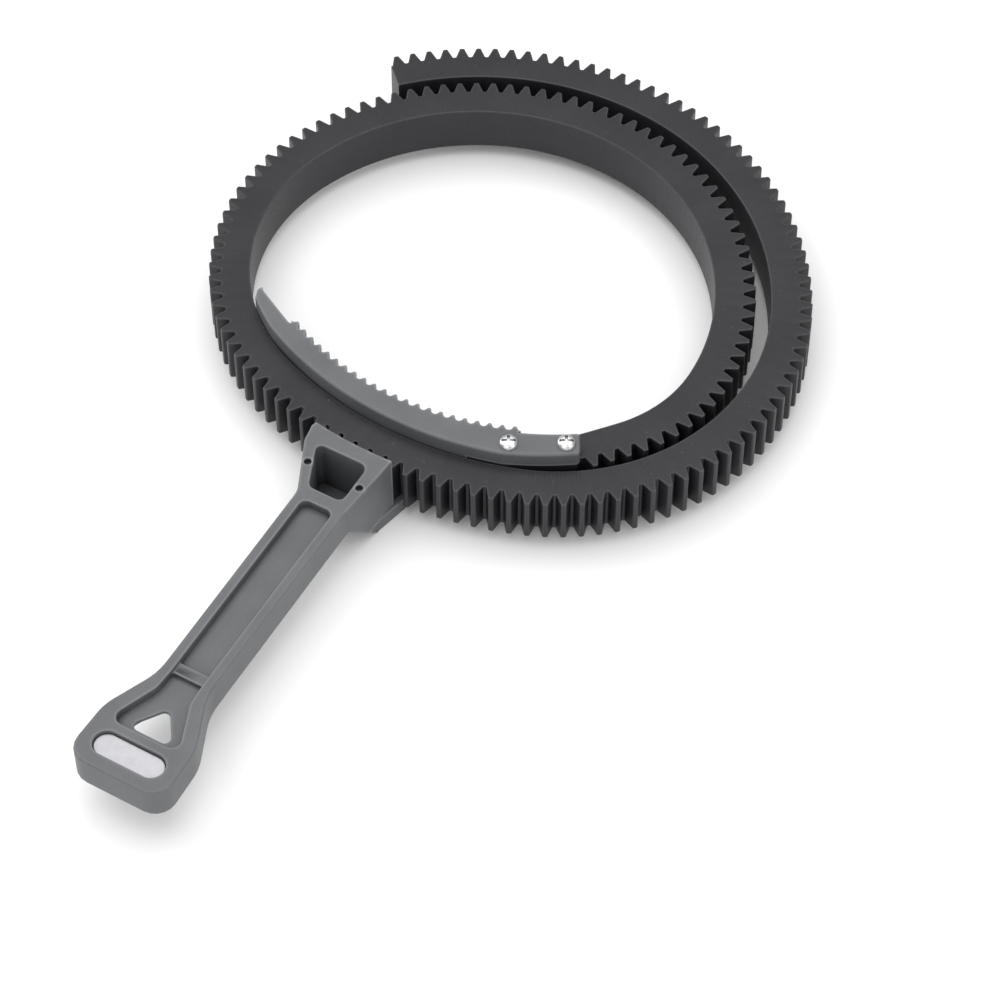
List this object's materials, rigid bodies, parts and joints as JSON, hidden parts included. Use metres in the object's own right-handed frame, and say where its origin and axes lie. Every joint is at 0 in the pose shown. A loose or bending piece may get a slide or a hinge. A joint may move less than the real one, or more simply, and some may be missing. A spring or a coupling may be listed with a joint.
{
  "type": "follow focus unit",
  "caption": "Flexible toothed belt ring for a camera lens, closed by a ribbed shoe and turned by a flared flat lever",
  "frame": {"origin": "on the axis of the belt's inner turn, in the plane of the belt's lower edge", "axes": "+Z along the lens axis, out of the slot that the belt is lifted from; the lever points along -Y"},
  "size_m": [0.0888, 0.1458, 0.0132],
  "materials": {
    "grip_grey": "satin, fine grain",
    "belt_black": "matte",
    "badge_silver": "satin",
    "screw_steel": "bright"
  },
  "bodies": {
    "grip": {"lever_arm": "grip_grey", "buckle_shoe": "grip_grey", "badge_inlay": "badge_silver", "belt_screw_inner": "screw_steel", "belt_screw_end": "screw_steel", "lever_screw_left": "screw_steel", "lever_screw_right": "screw_steel", "belt_inner_turn": "belt_black", "belt_crossover": "belt_black"},
    "belt_outer": {"belt_locked_length": "belt_black"},
    "tail_1": {"belt_tail_1": "belt_black"},
    "tail_2": {"belt_tail_2": "belt_black"},
    "tail_3": {"belt_tail_3": "belt_black"},
    "tail_4": {"belt_tail_4": "belt_black"},
    "tail_5": {"belt_tail_5": "belt_black"},
    "tail_6": {"belt_tail_6": "belt_black"},
    "tail_7": {"belt_tail_7": "belt_black"},
    "tail_8": {"belt_tail_8": "belt_black"},
    "tail_9": {"belt_tail_9": "belt_black"},
    "tail_10": {"belt_tail_10": "belt_black"}
  },
  "joints": [
    {"name": "belt_lift", "type": "slide", "parent": "grip", "child": "belt_outer", "axis": [0, 0, 1], "range_m": [0, 0.0108], "deforming": ["belt_crossover"]},
    {"name": "tail_bend_1", "type": "hinge", "parent": "belt_outer", "child": "tail_1", "pos_m": [0.04305, -0.01183, 0.00375], "axis": [0, 0, -1], "range_deg": [0, 10], "stiffness_Nm_per_rad": 0.02},
    {"name": "tail_bend_2", "type": "hinge", "parent": "tail_1", "child": "tail_2", "pos_m": [0.04611, -0.00005, 0.00375], "axis": [0, 0, -1], "range_deg": [0, 10], "stiffness_Nm_per_rad": 0.02},
    {"name": "tail_bend_3", "type": "hinge", "parent": "tail_2", "child": "tail_3", "pos_m": [0.04514, 0.01209, 0.00375], "axis": [0, 0, -1], "range_deg": [0, 10], "stiffness_Nm_per_rad": 0.02},
    {"name": "tail_bend_4", "type": "hinge", "parent": "tail_3", "child": "tail_4", "pos_m": [0.04035, 0.02334, 0.00375], "axis": [0, 0, -1], "range_deg": [0, 10], "stiffness_Nm_per_rad": 0.02},
    {"name": "tail_bend_5", "type": "hinge", "parent": "tail_4", "child": "tail_5", "pos_m": [0.03271, 0.03293, 0.00375], "axis": [0, 0, -1], "range_deg": [0, 10], "stiffness_Nm_per_rad": 0.02},
    {"name": "tail_bend_6", "type": "hinge", "parent": "tail_5", "child": "tail_6", "pos_m": [0.02283, 0.04021, 0.00375], "axis": [0, 0, -1], "range_deg": [0, 10], "stiffness_Nm_per_rad": 0.02},
    {"name": "tail_bend_7", "type": "hinge", "parent": "tail_6", "child": "tail_7", "pos_m": [0.0114, 0.04466, 0.00375], "axis": [0, 0, -1], "range_deg": [0, 10], "stiffness_Nm_per_rad": 0.02},
    {"name": "tail_bend_8", "type": "hinge", "parent": "tail_7", "child": "tail_8", "pos_m": [-0.0008, 0.04598, 0.00375], "axis": [0, 0, -1], "range_deg": [0, 10], "stiffness_Nm_per_rad": 0.02},
    {"name": "tail_bend_9", "type": "hinge", "parent": "tail_8", "child": "tail_9", "pos_m": [-0.01291, 0.04408, 0.00375], "axis": [0, 0, -1], "range_deg": [0, 10], "stiffness_Nm_per_rad": 0.02},
    {"name": "tail_bend_10", "type": "hinge", "parent": "tail_9", "child": "tail_10", "pos_m": [-0.02412, 0.0391, 0.00375], "axis": [0, 0, -1], "range_deg": [0, 10], "stiffness_Nm_per_rad": 0.02}
  ],
  "couplings": [
    {"joint": "tail_bend_2", "follows": "tail_bend_1", "ratio": 1},
    {"joint": "tail_bend_3", "follows": "tail_bend_1", "ratio": 1},
    {"joint": "tail_bend_4", "follows": "tail_bend_1", "ratio": 1},
    {"joint": "tail_bend_5", "follows": "tail_bend_1", "ratio": 1},
    {"joint": "tail_bend_6", "follows": "tail_bend_1", "ratio": 1},
    {"joint": "tail_bend_7", "follows": "tail_bend_1", "ratio": 1},
    {"joint": "tail_bend_8", "follows": "tail_bend_1", "ratio": 1},
    {"joint": "tail_bend_9", "follows": "tail_bend_1", "ratio": 1},
    {"joint": "tail_bend_10", "follows": "tail_bend_1", "ratio": 1}
  ]
}
